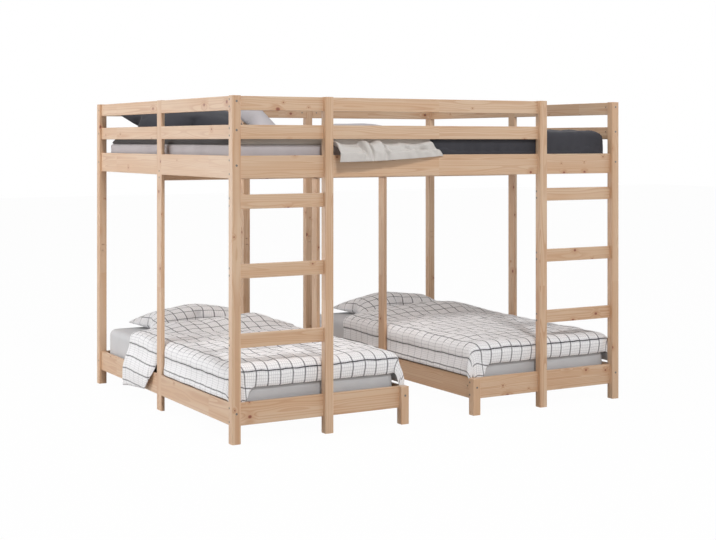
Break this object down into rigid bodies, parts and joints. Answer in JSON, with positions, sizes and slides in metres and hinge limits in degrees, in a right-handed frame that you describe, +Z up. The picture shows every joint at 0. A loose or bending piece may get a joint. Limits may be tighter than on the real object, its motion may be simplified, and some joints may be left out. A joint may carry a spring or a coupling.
{
  "type": "bunk bed",
  "caption": "Pine bunk bed with single beds at floor level under a broad bunk deck with guard boards and front ladders, made up with mattresses, pillows and duvets.",
  "frame": {"origin": "on the floor, under the middle of the frame's outer rectangle", "axes": "+X along the front from the left ladder to the right one, +Y from the front to the back, +Z up"},
  "size_m": [2.596, 2.112, 1.815],
  "materials": {
    "pine": "satin",
    "slat_pine": "satin",
    "zinc_steel": "satin",
    "grey_sheet": "matte",
    "lilac_sheet": "matte",
    "plaid_cotton": "matte",
    "charcoal_cotton": "matte",
    "lining_cotton": "matte"
  },
  "bodies": {
    "root": {"post_front_left": "pine", "post_front_right": "pine", "post_back_left": "pine", "post_back_right": "pine", "post_back_inner_left": "pine", "post_back_inner_right": "pine", "ladder_post_left": "pine", "ladder_post_right": "pine", "short_leg_left": "pine", "short_leg_right": "pine", "flat_post_left": "pine", "flat_post_right": "pine", "flat_post_inner_left": "pine", "flat_post_inner_right": "pine", "front_top_guard": "pine", "front_mid_guard": "pine", "front_deck_rail": "pine", "back_top_guard": "pine", "back_mid_guard": "pine", "back_deck_rail": "pine", "left_top_guard": "pine", "left_mid_guard": "pine", "left_deck_rail": "pine", "right_top_guard": "pine", "right_mid_guard": "pine", "right_deck_rail": "pine", "ladder_rungs_left": "pine", "ladder_rungs_right": "pine", "lower_left_foot_rail": "pine", "lower_left_head_rail": "pine", "lower_left_outer_rail": "pine", "lower_left_inner_rail": "pine", "lower_right_foot_rail": "pine", "lower_right_head_rail": "pine", "lower_right_outer_rail": "pine", "lower_right_inner_rail": "pine", "middle_beam": "pine", "deck_ledgers": "slat_pine", "lower_left_ledgers": "slat_pine", "lower_right_ledgers": "slat_pine", "deck_slats": "slat_pine", "lower_left_slats": "slat_pine", "lower_right_slats": "slat_pine", "connector_bolts": "zinc_steel", "connector_studs": "zinc_steel", "barrel_nuts": "zinc_steel", "mattress_lower_left": "grey_sheet", "mattress_lower_right": "grey_sheet", "mattress_deck_left": "lilac_sheet", "mattress_deck_right": "lilac_sheet", "pillow_lower_left": "plaid_cotton", "pillow_lower_right": "plaid_cotton", "duvet_lower_left": "plaid_cotton", "duvet_lower_right": "plaid_cotton", "duvet_corner": "plaid_cotton", "pillow_deck_left": "charcoal_cotton", "pillow_deck_right": "charcoal_cotton", "duvet_deck_left": "charcoal_cotton", "duvet_deck_right": "charcoal_cotton", "duvet_turnover": "lining_cotton"}
  },
  "joints": []
}
